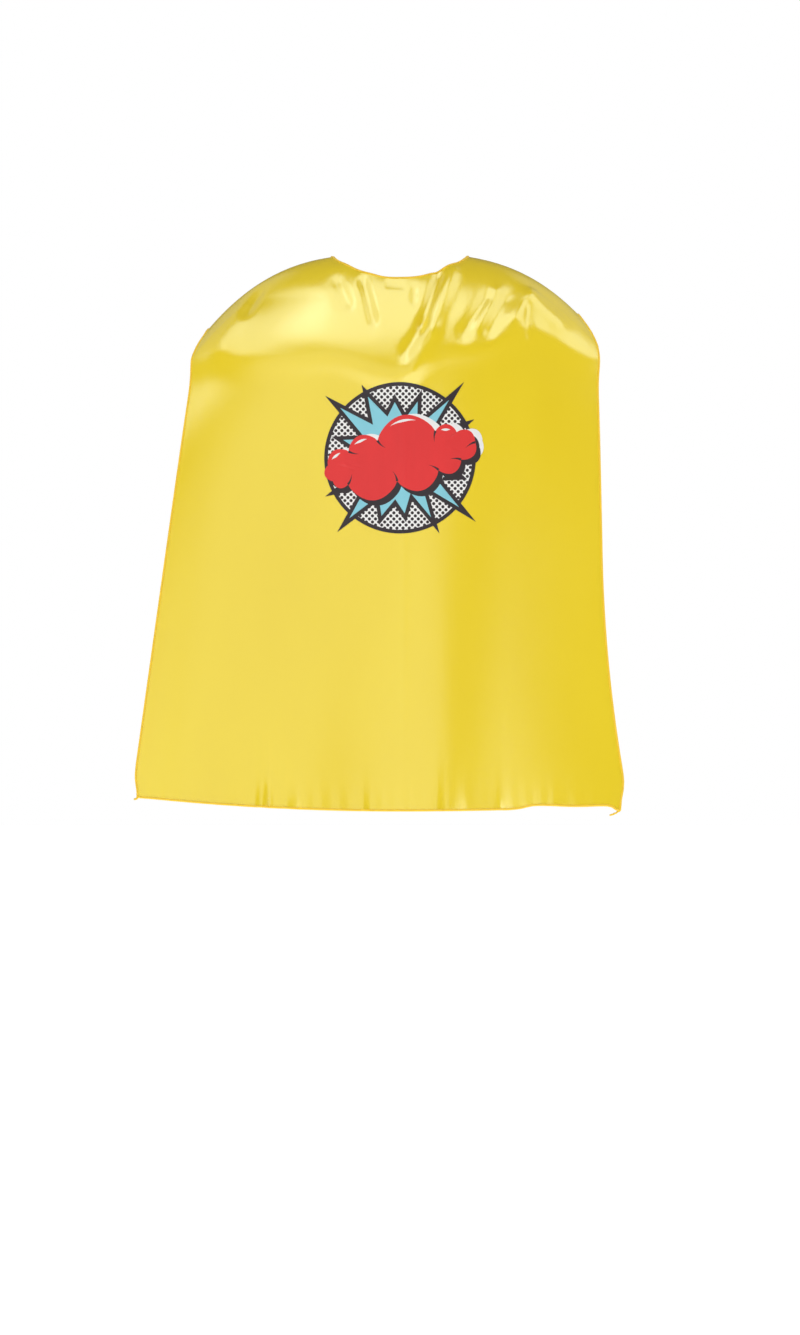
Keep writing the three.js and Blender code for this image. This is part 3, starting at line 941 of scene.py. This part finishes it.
def make_patch(name, low, body, material, up):
    """A pad of hook or loop tape with rounded corners: up is 1 where its pile faces out."""
    m, n = 60, 34
    i, j = np.meshgrid(run(0, 1, m), run(0, 1, n), indexing="ij")
    # the corners are pulled in a little, which rounds them
    a, b = 2 * i - 1, 2 * j - 1
    corner = np.clip((np.abs(a) - 0.86) / 0.14, 0, 1) * np.clip((np.abs(b) - 0.74) / 0.26, 0, 1)
    i = 0.5 + a / 2 * (1 - 0.045 * corner)
    j = 0.5 + b / 2 * (1 - 0.09 * corner)
    fluff = 0.16 * np.sin(i * 190) * np.sin(j * 95 + 2 * np.sin(i * 60))
    edge = np.minimum(np.minimum(i, 1 - i) * PATCH_LENGTH, np.minimum(j, 1 - j) * PATCH_WIDTH)
    crown = np.clip(edge / 1.6, 0, 1) ** 0.5
    thick = (PATCH_THICK - 0.2) * (0.45 + 0.55 * crown)
    backing = low + (PATCH_THICK if up < 0 else 0)
    pile = backing + up * (thick + fluff * crown)
    base = np.full_like(pile, backing)
    top = patch_place(i, j, pile)[0].reshape(-1, 3)
    bottom = patch_place(i, j, base)[0].reshape(-1, 3)
    faces = np.concatenate(shell_faces(m + 1, n + 1))
    if up < 0:
        faces = faces[:, ::-1]
    uv = np.stack([i * PATCH_LENGTH, j * PATCH_WIDTH], -1).reshape(-1, 2)
    points = np.concatenate([top, bottom])
    piece = make_mesh(name + "_pad", points, faces, [material], np.concatenate([uv, uv]))
    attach(piece, body)
    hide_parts(name)
    return piece


def make_hooks(body, material):
    """Rows of small bent hooks on the hook patch."""
    points, faces = [], []
    foot = CLOTH + PATCH_THICK + 2 * GAP
    last_ring = len(HOOK_HEIGHTS) - 1
    for a in range(HOOK_COLUMNS):
        for b in range(HOOK_ROWS):
            i, j = (a + 0.5) / HOOK_COLUMNS * 0.92 + 0.04, (b + 0.5) / HOOK_ROWS * 0.86 + 0.07
            lean = HOOK_LEAN if (a + b) % 2 else -HOOK_LEAN
            first = len(points)
            for k, height in enumerate(HOOK_HEIGHTS):
                for q in range(HOOK_SIDES):
                    phi = 2 * math.pi * q / HOOK_SIDES
                    u = i + lean * k * k / 4 + HOOK_SIZE[0] * math.cos(phi)
                    v = j + HOOK_SIZE[1] * math.sin(phi)
                    points.append((u, v, foot + height))
            rings = grid_faces(len(HOOK_HEIGHTS), HOOK_SIDES, first, wrap=True)
            faces += [tuple(f) for f in rings[:, [0, 3, 2, 1]]]
            faces.append(tuple(first + last_ring * HOOK_SIDES + q for q in range(HOOK_SIDES)))
    i, j, lift = np.array(points).T
    uv = np.stack([i * PATCH_LENGTH, j * PATCH_WIDTH], -1)
    piece = make_mesh("hook_patch_hooks", patch_place(i, j, lift)[0], faces, [material], uv)
    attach(piece, body)
    return piece


def stitches(name, path, normals, material, body, long=2.3, pitch=3.0, radius=0.34):
    """A row of lockstitches: short pillows of thread that dip into the cloth at both ends."""
    fine, up = resample(path, normals, pitch / 10)
    per = 10
    points, faces, uvs = [], [], []
    sides = 6
    phi = np.linspace(0, 2 * math.pi, sides, endpoint=False)
    for first in range(0, len(fine) - per, per):
        count = int(per * long / pitch) + 1
        piece, normal = fine[first : first + count], up[first : first + count]
        along = unit(np.gradient(piece, axis=0))
        across = unit(np.cross(along, normal))
        s = np.linspace(0, 1, count)
        arch = np.sin(math.pi * s)
        centre = piece + normal * (0.35 * arch - 0.2)[:, None]
        size = radius * (0.35 + 0.65 * arch**0.5)
        ring = across[:, None] * np.cos(phi)[None, :, None] + normal[:, None] * np.sin(phi)[None, :, None]
        start = len(points)
        points += (centre[:, None] + ring * size[:, None, None]).reshape(-1, 3).tolist()
        uvs += np.stack(np.broadcast_arrays(s[:, None] * long, phi[None, :]), -1).reshape(-1, 2).tolist()
        faces += [tuple(f) for f in grid_faces(count, sides, start, wrap=True)]
        faces.append(tuple(range(start + sides - 1, start - 1, -1)))
        faces.append(tuple(start + (count - 1) * sides + k for k in range(sides)))
    made = make_mesh(name, points, faces, [material], uvs)
    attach(made, body)
    return made


def rectangle_path(lift, side=1):
    """A line of stitching round a patch, just inside its edge."""
    near, far = STITCH_MARGIN, 1 - STITCH_MARGIN
    corners = [(near, near), (far, near), (far, far), (near, far), (near, near)]
    i = np.concatenate([run(a[0], b[0], 40) for a, b in zip(corners, corners[1:])])
    j = np.concatenate([run(a[1], b[1], 40) for a, b in zip(corners, corners[1:])])
    points, normals = patch_place(i, j, lift)
    return points, normals * side


def make_closure(thread):
    """The hook and loop patches of the tabs, and their stitching."""
    loop = tape_material("loop_tape_pile", (0.82, 0.80, 0.74), 1500)
    hook = tape_material("hook_tape", (0.84, 0.82, 0.77), 900)
    made = [
        make_patch("loop_patch", CLOTH + GAP - 0.5, "inner_tab_side", loop, 1),
        make_patch("hook_patch", CLOTH + PATCH_THICK + 2 * GAP + 0.5, "outer_tab_side", hook, -1),
        make_hooks("outer_tab_side", hook),
    ]
    outer_face = OUTER_LIFT + MIDDLE + SATIN_THICK / 2
    outside = stitches("hook_patch_stitches", *rectangle_path(outer_face + 0.1), thread, "outer_tab_side")
    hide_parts("hook_patch_stitching")
    inner_face = MIDDLE - SATIN_THICK / 2
    within = stitches("loop_patch_stitches", *rectangle_path(inner_face - 0.1, -1), thread, "inner_tab_side")
    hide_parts("loop_patch_stitching")
    return [*made, outside, within]


def make_label(thread):
    """A blank woven tape, caught by its top edge inside the nape and curling a little at its foot."""
    m, n = 24, 40
    i, j = np.meshgrid(run(0, 1, m), run(0, 1, n), indexing="ij")
    curl = 1.6 + 3.2 * j**3 + 0.5 * np.sin(3.1 * i) * j
    x, t = LABEL_WIDTH / 2 - LABEL_WIDTH * i, LABEL_TOP + LABEL_LENGTH * j
    tape = tape_material("woven_label_tape", (0.86, 0.85, 0.81), 1100)
    outer = on_cloth(x, t, -curl)[0].reshape(-1, 3)
    inner = on_cloth(x, t, -curl - 0.35)[0].reshape(-1, 3)
    points, faces = np.concatenate([outer, inner]), np.concatenate(shell_faces(m + 1, n + 1))
    uv = np.stack([x, t], -1).reshape(-1, 2)
    label = make_mesh("care_label_tape", points, faces, [tape], np.concatenate([uv, uv]))
    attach(label, "shoulders")
    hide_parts("care_label")
    across = run(-15, 15, 60)
    seam, normals = on_cloth(across, LABEL_TOP + 2.5, -2.1)
    row = stitches("label_stitches", seam, -normals, thread, "shoulders", long=1.9, pitch=2.5)
    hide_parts("label_stitching")
    return [label, row]


# ---------------------------------------------------------------- stage

CAMERA_AT = (0, -4.5, -0.424)
LENS = 114.5
FLOOR_LEVEL = -1116
FLOOR_GLOW = 0.76
ROOM_LIGHT = 0.10

# Patches of light, far away: elevation, azimuth and spread in degrees, and strength
LIGHTS = {
    "key": (61, -6, 50, 0.96),
    "key_left": (46, -66, 45, 0.57),
    "key_right": (46, 80, 41, 0.53),
    "front_fill": (4, -20, 60, 0.40),
    "side_fill": (0, 88, 36, 0.5),
    "throat_left": (24, -130, 60, 0.24),
    "throat_right": (24, 130, 60, 0.24),
}


def make_camera():
    """A camera behind the wearer."""
    data = bpy.data.cameras.new("camera")
    data.sensor_width = 36
    data.lens = LENS
    data.clip_end = 60
    camera = bpy.data.objects.new("camera", data)
    camera.location = CAMERA_AT
    camera.rotation_euler = (math.radians(90), 0, 0)
    bpy.context.scene.collection.objects.link(camera)
    bpy.context.scene.camera = camera


def sky_light(name, elevation, azimuth, spread, strength):
    """A far, even patch of light, spread degrees across. Azimuth 0 stands on the camera's side."""
    data = bpy.data.lights.new(name, "SUN")
    data.angle = math.radians(spread)
    data.energy = strength
    lamp = bpy.data.objects.new(name, data)
    a, e = math.radians(azimuth), math.radians(elevation)
    away = Vector((math.sin(a) * math.cos(e), -math.cos(a) * math.cos(e), math.sin(e)))
    lamp.rotation_euler = away.to_track_quat("Z", "Y").to_euler()
    bpy.context.scene.collection.objects.link(lamp)


def make_stage():
    """A pale floor and a room that the camera sees as white, with the lights."""
    half = 14000
    corners = [(-half, -half), (half, -half), (half, half), (-half, half)]
    floor_material, *_ = new_material(
        "pale_floor", (0.88, 0.88, 0.88), 0.8, Emission_Color=(1, 1, 1, 1), Emission_Strength=FLOOR_GLOW,
    )
    floor = make_mesh("floor", [(x, y, FLOOR_LEVEL) for x, y in corners], [(0, 1, 2, 3)], [floor_material])
    world = bpy.data.worlds.new("studio")
    world.use_nodes = True
    nodes, links = world.node_tree.nodes, world.node_tree.links
    ray = nodes.new("ShaderNodeLightPath")
    strength = nodes.new("ShaderNodeMapRange")
    strength.inputs["To Min"].default_value = ROOM_LIGHT
    strength.inputs["To Max"].default_value = 1.0
    links.new(ray.outputs["Is Camera Ray"], strength.inputs["Value"])
    background = nodes["Background"]
    background.inputs["Color"].default_value = (1, 1, 1, 1)
    links.new(strength.outputs["Result"], background.inputs["Strength"])
    bpy.context.scene.world = world
    bpy.context.scene.view_settings.view_transform = "Standard"
    for name, light in LIGHTS.items():
        sky_light(name, *light)


def main():
    make_camera()
    thread = thread_material()
    cape, outer, inner = make_cloth(satin_material(), crepe_material())
    edges = make_edges(thread)
    tails = make_thread_tails(thread)
    emblem = make_emblem()
    closure = make_closure(thread)
    label = make_label(thread)
    make_stage()


main()
